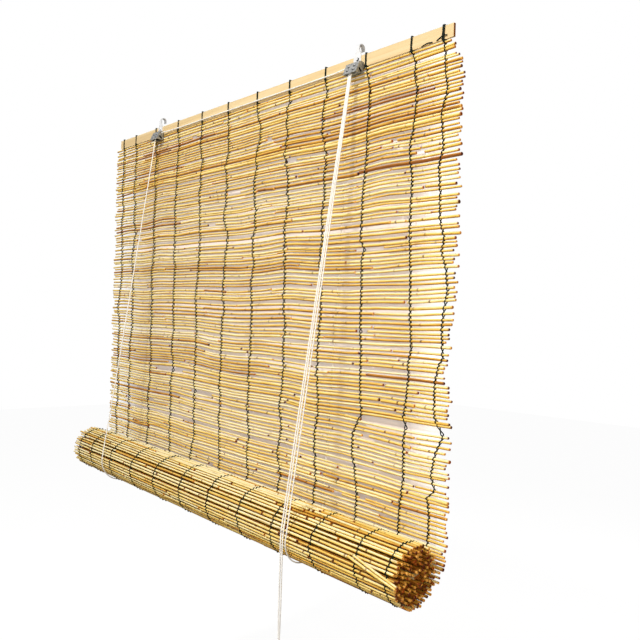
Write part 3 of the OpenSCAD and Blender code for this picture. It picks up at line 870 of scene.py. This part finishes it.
def blank_collection():
    """The reeds to choose from, in the order of their kinds: long, middling, short, and plain inner ones."""
    collection = bpy.data.collections.new("reed_blanks")
    collection.objects.link(reed_blank("blank_0_long", 22, (3, 8, 13, 19)))
    collection.objects.link(reed_blank("blank_1_middle", 13, (4, 10)))
    collection.objects.link(reed_blank("blank_2_short", 7, (3,)))
    collection.objects.link(reed_blank("blank_3_inner", 2, (), 6))
    return collection


def named(tree, name, kind="FLOAT"):
    inputs = {"Name": name}
    return node(tree, "GeometryNodeInputNamedAttribute", inputs, data_type=kind).outputs["Attribute"]


def finished(tree, geometry, material):
    """Smooths the mesh, makes any instances real and sets its material."""
    smooth = node(tree, "GeometryNodeSetShadeSmooth", {0: geometry, "Shade Smooth": True}).outputs[0]
    real = node(tree, "GeometryNodeRealizeInstances", {0: smooth}).outputs[0]
    return node(tree, "GeometryNodeSetMaterial", {0: real, "Material": material}).outputs[0]


def reed_tree():
    """Puts a reed along its row's line for every point, bends it a little and lets its thickness wander."""
    inputs = [("Reeds", "NodeSocketGeometry", None), ("Lines", "NodeSocketObject", None),
              ("Blanks", "NodeSocketCollection", None), ("Wander", "NodeSocketFloat", 0.0004),
              ("Uneven", "NodeSocketFloat", 0.12), ("Seed", "NodeSocketInt", 1),
              ("Finish", "NodeSocketMaterial", None)]
    tree, given, result = new_group(
        "reeds_on_lines", "GeometryNodeTree", inputs, [("Mesh", "NodeSocketGeometry")])
    blanks = node(tree, "GeometryNodeCollectionInfo", {
        "Collection": given.outputs["Blanks"], "Separate Children": True, "Reset Children": True}).outputs[0]
    placed = node(tree, "GeometryNodeInstanceOnPoints", {
        "Points": given.outputs["Reeds"], "Instance": blanks, "Pick Instance": True,
        "Instance Index": named(tree, "kind", "INT")}).outputs[0]
    real = node(tree, "GeometryNodeRealizeInstances", {0: placed}).outputs[0]
    lines = node(tree, "GeometryNodeObjectInfo", {"Object": given.outputs["Lines"]}).outputs["Geometry"]

    along = named(tree, "along")
    swing = math_node(tree, "SINE", times(tree, along, math.pi))
    along = plus(tree, along, times(tree, swing, times(tree, named(tree, "lean"), 0.12)))
    span = minus(tree, named(tree, "to"), named(tree, "from"))
    factor = plus(tree, named(tree, "from"), times(tree, along, span))
    sample = node(tree, "GeometryNodeSampleCurve", {
        "Curves": lines, "Factor": factor, "Curve Index": named(tree, "row", "INT")},
        mode="FACTOR", use_all_curves=False)
    centre, tangent = sample.outputs["Position"], sample.outputs["Tangent"]

    # Each row reads its own stretch of the noise, which bends its reeds and changes their thickness
    x = parts_of(tree, centre)[0]
    place = vector_of(tree, times(tree, x, 9.0), times(tree, named(tree, "lane"), 7.31),
                      times(tree, given.outputs["Seed"], 3.7))
    noise = node(tree, "ShaderNodeTexNoise", {"Vector": place, "Scale": 1.0, "Detail": 1.0})
    wander = vector_math(tree, "SUBTRACT", noise.outputs["Color"], (0.5, 0.5, 0.5))
    wander = scaled(tree, wander, given.outputs["Wander"])
    swell = times(tree, minus(tree, noise.outputs[0], 0.5), given.outputs["Uneven"])
    radius = times(tree, named(tree, "radius"), plus(tree, swell, 1.0))
    radius = times(tree, radius, named(tree, "share"))

    around = named(tree, "around")
    ring = vector_of(tree, 0.0, math_node(tree, "COSINE", around), math_node(tree, "SINE", around))
    tilt = times(tree, named(tree, "rise"), minus(tree, named(tree, "along"), 0.5))
    place = centre
    for step in (scaled(tree, tangent, named(tree, "shift")), scaled(tree, ring, radius),
                 vector_math(tree, "MULTIPLY", wander, (0.0, 2.0, 2.0)), vector_of(tree, 0.0, 0.0, tilt)):
        place = vector_math(tree, "ADD", place, step)
    moved = node(tree, "GeometryNodeSetPosition", {"Geometry": real, "Position": place}).outputs[0]
    set_inputs(tree, result, {0: finished(tree, moved, given.outputs["Finish"])})
    return tree


BLANKS = blank_collection()
REEDS = reed_tree()


def reed_points(name, pieces, tilt):
    """A mesh of loose points, one for each reed. A piece is (row, from, to, radius, tone, kind).
    tilt is how far, in metres, one end of a reed usually lies above the other."""
    row, start, end, radius, tone, kind = np.array(pieces, float).T
    count = len(row)
    mesh = bpy.data.meshes.new(name)
    mesh.from_pydata([(0, 0, 0)] * count, [], [])
    add_attributes(mesh, {"row": row.astype(int), "from": start, "to": end, "radius": radius, "tone": tone,
                          "kind": kind.astype(int), "lane": row, "lean": rng.uniform(-1, 1, count),
                          "rise": rng.normal(0, tilt, count), "mark": rng.random(count) ** 1.4})
    return link(bpy.data.objects.new(name, mesh))


def make_reeds(name, lines, pieces, body, solid, tilt, wander, uneven, seed):
    """Reeds along the lines, as one piece on a body, which stands for the named solid."""
    guides = lines_object(name + "_lines", lines)
    values = {"Lines": guides, "Blanks": BLANKS, "Wander": wander, "Uneven": uneven, "Seed": seed,
              "Finish": FINISH["reed"]}
    obj = run_tree(reed_points(name, pieces, tilt), REEDS, values, name)
    bpy.data.objects.remove(guides)
    return place_piece(obj, body, "reed", solid)


def reed_tone():
    """How brown a reed is, from 0 for cream to 1 for brown."""
    return float(np.clip(rng.beta(1.2, 2.1) * 0.95, 0, 1))


def without_dropped(pieces, full):
    """The pieces of the hanging rows, less the stretches that have dropped out."""
    kept = []
    for piece in pieces:
        row, start, end, *rest = piece
        for bare_row, bare_start, bare_end in DROPPED:
            bare_from, bare_to = (bare_start - KNOTS[0]) / full, (bare_end - KNOTS[0]) / full
            if row != bare_row or end < bare_from or start > bare_to:
                continue
            if start < bare_from - 0.02:
                kept.append((row, start, bare_from, *rest))
            start = min(end, bare_to)
        if end > start + 0.02:
            kept.append((row, start, end, *rest))
    return kept


def cut_row(row, radius, low, high, full):
    """The reeds of one row, butted end to end. low and high are the row's ends as shares of its line."""
    cuts = sorted(rng.uniform(0.04, 0.96, rng.choice([1, 2, 3, 4, 5], p=REEDS_IN_ROW)))
    ends = [low, *[low + cut * (high - low) for cut in cuts], high]
    pieces = []
    for start, end in zip(ends, ends[1:]):
        gap = rng.uniform(0.0003, 0.0025) / full
        length = (end - start) * full
        kind = 0 if length > 0.4 else 1 if length > 0.2 else 2
        size = radius * rng.uniform(0.88, 1.06)
        tone = reed_tone() * np.interp(length, [0.2, 0.5], [1, 0.6])
        pieces.append((row, start + gap, end - gap, size, tone, kind))
    return pieces


def squash_to_head(obj):
    """Gives the mat or its threads a mesh of their own."""
    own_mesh(obj)


def make_mat():
    lines = [[(x, MAT_Y, height) for x, height in zip(KNOTS, row)] for row in heights]
    full = KNOTS[-1] - KNOTS[0]
    pieces = []
    for row in range(ROW_COUNT):
        left = rng.uniform(0, OVERHANG_MAX - OVERHANG_MIN) / full
        reach = np.interp(row, *zip(*RIGHT_EDGE)) - rng.uniform(0, 0.009)
        right = 1 - (OVERHANG_MAX - reach) / full
        pieces += cut_row(row, row_radii[row], left, right, full)
    obj = make_reeds("hanging_reeds", lines, without_dropped(pieces, full), "head", "reed_mat",
                     tilt=0.0011, wander=0.0006, uneven=0.16, seed=3)
    squash_to_head(obj)


# The roll

ROLL_MAT = math.pi * (TURN_RADIUS**2 - CORE_RADIUS**2) / TURN_PITCH
ROLL_REEDS = int(ROLL_MAT / ROW_PITCH)
OUTER_REEDS = int(2.1 * math.pi * TURN_RADIUS / ROW_PITCH)
CORE_REEDS = 9
# How far past the slat's end the rolled reeds reach: outer ones, inner ones and those round the core
OUTER_END = (-0.003, 0.0035)
INNER_END = (-0.004, 0.0045)
CORE_END = (0.004, 0.007)
# Loose reeds that lie aslant on the roll's front: (start and end along the roll, turn in degrees)
LOOSE_REEDS = [(0.38, 0.459, 0), (0.372, 0.456, -4.5)]
# How such a reed lies at its start, middle and end: (angle in degrees, rise above the outer turn)
LOOSE_LIE = [(198, 0.0022), (188, 0.0032), (178, 0.0032)]


def spiral_place(length):
    """Angle and radius of the rolled mat at a length of mat from where it meets the roll's back."""
    radius = math.sqrt(max(0, TURN_RADIUS**2 - TURN_PITCH / math.pi * length))
    return (TURN_RADIUS - radius) * math.tau / TURN_PITCH, radius


def in_roll(x, y, z):
    """A place in the roll's own straight frame, turned to the roll's slope and moved to its centre."""
    return (x * math.cos(SKEW) + z * math.sin(SKEW) + ROLL_CENTRE.x, y + ROLL_CENTRE.y,
            z * math.cos(SKEW) - x * math.sin(SKEW) + ROLL_CENTRE.z)


def roll_places():
    """Radius of the reed, and angle and radius of its place in the spiral, for every rolled row."""
    places = []
    for row in range(ROLL_REEDS):
        length = (row + 0.5 + rng.uniform(-0.16, 0.16)) * ROW_PITCH
        angle, radius = spiral_place(length)
        size = REED_RADIUS * rng.uniform(0.88, 1.12)
        places.append((size, angle, radius + rng.uniform(-0.0003, 0.0003)))
    return places


roll_rows = roll_places()


def make_roll():
    half = HALF_WIDTH + OVERHANG_MAX
    lines, pieces = [], []
    for row, (size, angle, radius) in enumerate(roll_rows):
        tilt = rng.uniform(-0.0004, 0.0004)
        y, z = radius * math.cos(angle), -radius * math.sin(angle)
        lines.append([in_roll(-half, y, z - tilt), in_roll(0, y, z), in_roll(half, y, z + tilt)])
        left = rng.uniform(0, OVERHANG_MAX - OVERHANG_MIN) / (2 * half)
        reach = OUTER_END if row < OUTER_REEDS else CORE_END if row >= ROLL_REEDS - CORE_REEDS else INNER_END
        right = 1 - (OVERHANG_MAX - rng.uniform(*reach)) / (2 * half)
        if row < OUTER_REEDS:
            pieces += cut_row(row, size, left, right, 2 * half)
        else:
            # The inner turns' reeds get a browner tone than the outer ones: painted shade inside the roll
            pieces.append((row, left, right, size, 0.75 + 0.5 * reed_tone(), 3))
    for start, end, turn in LOOSE_REEDS:
        line = []
        for x, (angle, rise) in zip((start, (start + end) / 2, end), LOOSE_LIE):
            angle, radius = math.radians(angle + turn), TURN_RADIUS + rise
            line.append(in_roll(x, radius * math.cos(angle), -radius * math.sin(angle)))
        pieces.append((len(lines), 0, 1, REED_RADIUS * rng.uniform(0.85, 1), 0.25, 2))
        lines.append(line)
    make_reeds("rolled_reeds", lines, pieces, "roll", "mat_roll",
               tilt=0.0007, wander=0.0005, uneven=0.14, seed=5)


# Threads

# How far the right-hand columns of thread stray sideways: (depth, millimetres) pairs for each column,
# where the depth is counted in evenly spaced rows
RIGHT_STRAY = {
    9: [(0, 0), (6, 10), (13, 7), (21, 6), (31, 0), (44, -1), (45, 7), (48, 2), (65, 3), (83, 8), (86, 10),
        (91, -5), (96, -7), (100, 0), (105, 5), (117, 4)],
    10: [(0, 0), (3, 8), (6, 6), (9, 10), (16, 9), (23, 2), (30, 7), (42, 5), (51, 7), (65, 12), (69, 13),
         (73, 8), (76, 10), (81, 7), (85, 3), (87, 8), (90, 4), (99, 6), (107, 1), (117, 1)],
    11: [(0, 1), (7, 5), (11, 8), (16, 0), (20, 1), (24, 4), (28, -3), (35, 1), (40, 1), (44, 9), (47, 4),
         (51, 13), (56, 17), (60, 12), (64, 9), (71, 11), (72, 6), (76, 0), (84, 2), (88, 16), (92, 4),
         (97, -1), (100, 6), (102, -6), (105, -3), (117, -4)],
}
# The wraps of a band round the slat press into each other a little
WRAP_PITCH = 1.5 * THREAD_RADIUS
# The last band's tied ends: (place past the column, distance from the slat, height above its lower edge)
TIED_ENDS = [(-0.011, 0, 0.0006), (-0.007, 0, 0.0026), (0, 0.001, 0.0044), (0.006, 0, 0.0042)]
# A thread's loose end on the slat's lower edge, as (place along the slat, height above the edge)
LOOSE_TAIL = [(0.3985, -0.0006), (0.403, 0.0009), (0.4075, 0.0016), (0.412, 0.0014), (0.4165, 0.0006)]


def with_attribute(tree, curve, name, value):
    return node(tree, "GeometryNodeStoreNamedAttribute", {"Geometry": curve, "Name": name, "Value": value},
                data_type="FLOAT", domain="POINT").outputs[0]


def thread_tree():
    """Sweeps a thread along each line of points."""
    inputs = [("Lines", "NodeSocketGeometry", None), ("Radius", "NodeSocketFloat", THREAD_RADIUS),
              ("Sides", "NodeSocketInt", 5), ("Finish", "NodeSocketMaterial", None)]
    tree, given, result = new_group(
        "threads_on_lines", "GeometryNodeTree", inputs, [("Mesh", "NodeSocketGeometry")])
    curve = node(tree, "GeometryNodeMeshToCurve", {0: given.outputs["Lines"]}).outputs[0]
    curve = node(tree, "GeometryNodeCurveSplineType", {"Curve": curve}, spline_type="CATMULL_ROM").outputs[0]
    curve = node(tree, "GeometryNodeSetSplineResolution", {0: curve, "Resolution": 3}).outputs[0]
    place = node(tree, "GeometryNodeSplineParameter")
    curve = with_attribute(tree, curve, "run", place.outputs["Length"])
    profile = node(tree, "GeometryNodeCurvePrimitiveCircle", {
        "Resolution": given.outputs["Sides"], "Radius": given.outputs["Radius"]}).outputs[0]
    profile = with_attribute(tree, profile, "turn", place.outputs["Factor"])
    mesh = node(tree, "GeometryNodeCurveToMesh", {
        "Curve": curve, "Profile Curve": profile, "Fill Caps": True}).outputs[0]
    set_inputs(tree, result, {0: finished(tree, mesh, given.outputs["Finish"])})
    return tree


THREADS = thread_tree()


def polylines(name, lines):
    """A mesh of edges, with one open line for each list of points."""
    vertices, edges = [], []
    for points in lines:
        start = len(vertices)
        vertices += [tuple(p) for p in points]
        edges += [(start + i, start + i + 1) for i in range(len(points) - 1)]
    mesh = bpy.data.meshes.new(name)
    mesh.from_pydata(vertices, edges, [])
    return link(bpy.data.objects.new(name, mesh))


def make_threads(name, lines, body, solid):
    """Threads along the lines, as one piece on a body, which stands for the named solid."""
    values = {"Radius": THREAD_RADIUS, "Finish": FINISH["thread"]}
    obj = run_tree(polylines(name, lines), THREADS, values, name)
    return place_piece(obj, body, "thread", solid)


def column_wander(count, amount):
    """Sideways shifts of a column's stitches, row by row, that drift to and fro and start at nothing."""
    steps = rng.normal(0, 1, count + 6)
    drift = np.convolve(steps, np.ones(7) / 7, mode="valid")[:count] * math.sqrt(7)
    start = np.clip(np.arange(count) / 5, 0, 1)
    return (drift * amount + rng.normal(0, 0.0009, count)) * start


def stitch_lines(rows, wander, start=None):
    """Two threads that cross between the reeds and pass each reed on either side. A row is (x, y, z, radius,
    outward), where outward is the direction to the mat's face."""
    lines = []
    for thread in (0, 1):
        points = [] if start is None else [start]
        for i, (x, y, z, radius, outward) in enumerate(rows):
            side = 1 if (i + thread) % 2 == 0 else -1
            reach = side * (radius + 0.9 * THREAD_RADIUS)
            if i:
                middle = [(a + b) / 2 for a, b in zip(rows[i - 1][:3], (x, y, z))]
                shift = (wander[i - 1] + wander[i]) / 2 + 0.35 * THREAD_RADIUS * side
                points.append((middle[0] + shift, middle[1], middle[2]))
            points.append((x + wander[i], y + reach * outward[1], z + reach * outward[2]))
        lines.append(points)
    return lines


def make_mat_threads():
    lines = []
    for index, x in enumerate(COLUMNS):
        wander = column_wander(ROW_COUNT, 0.0028)
        heights_here = [row_height(row, x) for row in range(ROW_COUNT)]
        if index in RIGHT_STRAY:
            depths = (MAT_TOP - np.array(heights_here)) / drop_to_roll(x) * ROW_COUNT
            wander = wander * 0.15 + 0.001 * np.interp(depths, *zip(*RIGHT_STRAY[index]))
        rows = [(x, MAT_Y, height, radius, (0, -1, 0)) for height, radius in zip(heights_here, row_radii)]
        lines += stitch_lines(rows, wander, start=(x, MAT_Y, SLAT_BOTTOM - 0.0004))
    squash_to_head(make_threads("mat_threads", lines, "head", "warp_threads"))


def make_roll_threads():
    lines = []
    for x in COLUMNS:
        wander = column_wander(OUTER_REEDS, 0.0016)
        rows = []
        for size, angle, radius in roll_rows[:OUTER_REEDS]:
            y, z = math.cos(angle), -math.sin(angle)
            rows.append((*in_roll(x, radius * y, radius * z), size, (0, y, z)))
        lines += stitch_lines(rows, wander)
    make_threads("roll_stitches", lines, "roll", "roll_threads")


def wrap_line(x, turns, lean):
    """A thread wrapped round the slat, a little further along at each turn."""
    low_y, high_y = SLAT_LOW.y - THREAD_RADIUS, SLAT_HIGH.y + THREAD_RADIUS
    low_z, high_z = SLAT_BOTTOM - THREAD_RADIUS, SLAT_TOP + THREAD_RADIUS
    middle, corner = (low_z + high_z) / 2, 0.0004
    loop = [(low_y, low_z + corner), (low_y, middle), (low_y, high_z - corner), (low_y + corner, high_z),
            (high_y - corner, high_z), (high_y, high_z - corner), (high_y, middle),
            (high_y, low_z + corner), (high_y - corner, low_z), (low_y + corner, low_z)]
    points = []
    for turn in range(turns):
        for i, (y, z) in enumerate(loop):
            along = x + (turn + i / len(loop) - turns / 2) * WRAP_PITCH
            points.append((along + lean * (z - low_z), y, z))
    return points


def make_bindings():
    """The bands round the slat, each with a knot and two short ends, and the last with more turns and loose
    thread."""
    lines = []
    low = SLAT_LOW.y - THREAD_RADIUS
    for x in COLUMNS:
        turns = 3 if x == COLUMNS[-1] else 2
        lines.append(wrap_line(x, turns, rng.uniform(-0.04, 0.04)))
        lines.append(knot_path((x, SLAT_LOW.y - 0.0007, SLAT_BOTTOM + 0.0002), 0.0014, 24))
        for _ in range(2):
            lean = rng.uniform(-0.0025, 0.0025)
            start = Vector((x, SLAT_LOW.y - 0.001, SLAT_BOTTOM + 0.0004))
            lines.append([start, start + Vector((lean * 0.5, -0.0006, -0.0018)),
                          start + Vector((lean, -0.0009, -0.0042))])
    lines.append([(COLUMNS[-1] + x, low - out, SLAT_BOTTOM + rise) for x, out, rise in TIED_ENDS])
    lines.append([(x, low, SLAT_BOTTOM + rise) for x, rise in LOOSE_TAIL])
    make_threads("binding_wraps", lines, "head", "slat_bindings")


def finish_solids():
    """Each solid takes its slot's finish. The steel, the wheels and the slats are seen as they are."""
    for part in frame["record"]["subparts"]:
        obj = frame["nodes"][part["node"]]
        obj.data.materials.clear()
        obj.data.materials.append(FINISH[part["material_slot"]])


# Lights and stage

def area_light(name, place, target, size, power, tint):
    data = bpy.data.lights.new(name, "AREA")
    data.shape = "RECTANGLE"
    data.size, data.size_y = size
    data.energy = power
    data.color = tint
    obj = link(bpy.data.objects.new(name, data))
    obj.location = place
    obj.rotation_mode = "QUATERNION"
    obj.rotation_quaternion = (Vector(target) - Vector(place)).to_track_quat("-Z", "Y")


def plain_sheet(name, corners, material):
    mesh = bpy.data.meshes.new(name)
    mesh.from_pydata(corners, [], [(0, 1, 2, 3)])
    mesh.materials.append(material)
    link(bpy.data.objects.new(name, mesh))


def sight(tree):
    """1 where the camera looks straight, a part of that in reflections, and 0 for soft light."""
    path = node(tree, "ShaderNodeLightPath")
    return plus(tree, path.outputs["Is Camera Ray"], times(tree, path.outputs["Is Glossy Ray"], 0.35))


def light_up(tree, shader, base, glow, tint):
    """Makes a surface bright to the eye by its glow. It still takes soft shadows on its base colour."""
    set_inputs(tree, shader, {"Base Color": base, "Roughness": 0.9, "Emission Color": tint,
                              "Emission Strength": times(tree, sight(tree), glow)})


def floor_material():
    material, tree, shader = new_material("pale_floor")
    light_up(tree, shader, (0.15, 0.15, 0.15, 1), 0.93, (1, 1, 1, 1))
    return material


def wall_material():
    """Wall behind the mat, with painted shade that makes it browner and dimmer towards the roll and painted light
    that makes it paler and brighter near its right edge. It shows from the room side only, and fades out at its
    left, right and lower edges."""
    material, tree, shader = new_material("pale_wall")
    x, _, z = parts_of(tree, coordinate(tree, "Object"))
    # Lower down, towards the roll, the wall turns browner and glows less: painted shade
    low = remap(tree, z, -0.42, -0.6)
    base = mix_colour(tree, low, WALL_HIGH_COLOUR, WALL_LOW_PAINTED_SHADE)
    # Near its right edge the wall turns paler and glows more: painted light
    base = mix_colour(tree, remap(tree, x, 0.38, 0.43), base, WALL_RIM_PAINTED_LIGHT)
    glow = times(tree, remap(tree, x, 0.37, 0.43, 0.34, 0.9), remap(tree, low, 0.0, 1.0, 1.0, 0.7))
    light_up(tree, shader, base, glow, (1, 0.95, 0.92, 1))
    hidden = remap(tree, x, WALL_LEFT + 0.1, WALL_LEFT)
    for cause in (remap(tree, z, WALL_LOW + 0.06, WALL_LOW), remap(tree, x, WALL_RIGHT - 0.004, WALL_RIGHT),
                  node(tree, "ShaderNodeNewGeometry").outputs["Backfacing"],
                  node(tree, "ShaderNodeLightPath").outputs["Is Shadow Ray"]):
        hidden = larger(tree, hidden, cause)
    clear = node(tree, "ShaderNodeBsdfTransparent").outputs[0]
    mixed = node(tree, "ShaderNodeMixShader", {0: hidden, 1: shader.outputs[0], 2: clear}).outputs[0]
    set_inputs(tree, tree.nodes["Material Output"], {"Surface": mixed})
    return material


def make_stage():
    plain_sheet("floor", [(-6, -6, FLOOR_Z), (6, -6, FLOOR_Z), (6, 6, FLOOR_Z), (-6, 6, FLOOR_Z)],
                floor_material())
    plain_sheet("wall", [(WALL_LEFT, WALL_Y, WALL_LOW), (WALL_RIGHT, WALL_Y, WALL_LOW),
                         (WALL_RIGHT, WALL_Y, WALL_TOP), (WALL_LEFT, WALL_Y, WALL_TOP)], wall_material())
    world = bpy.data.worlds.new("studio")
    bpy.context.scene.world = world
    world.use_nodes = True
    tree = world.node_tree
    strength = remap(tree, sight(tree), 0.0, 1.0, 0.1, 1.0)
    set_inputs(tree, tree.nodes["Background"], {"Color": (1, 1, 1, 1), "Strength": strength})
    for lamp in LAMPS:
        area_light(*lamp)


set_camera()
make_cords()
make_mat()
make_roll()
make_mat_threads()
make_roll_threads()
make_bindings()
finish_solids()
make_stage()

scene = bpy.context.scene
scene.view_settings.view_transform = "Standard"
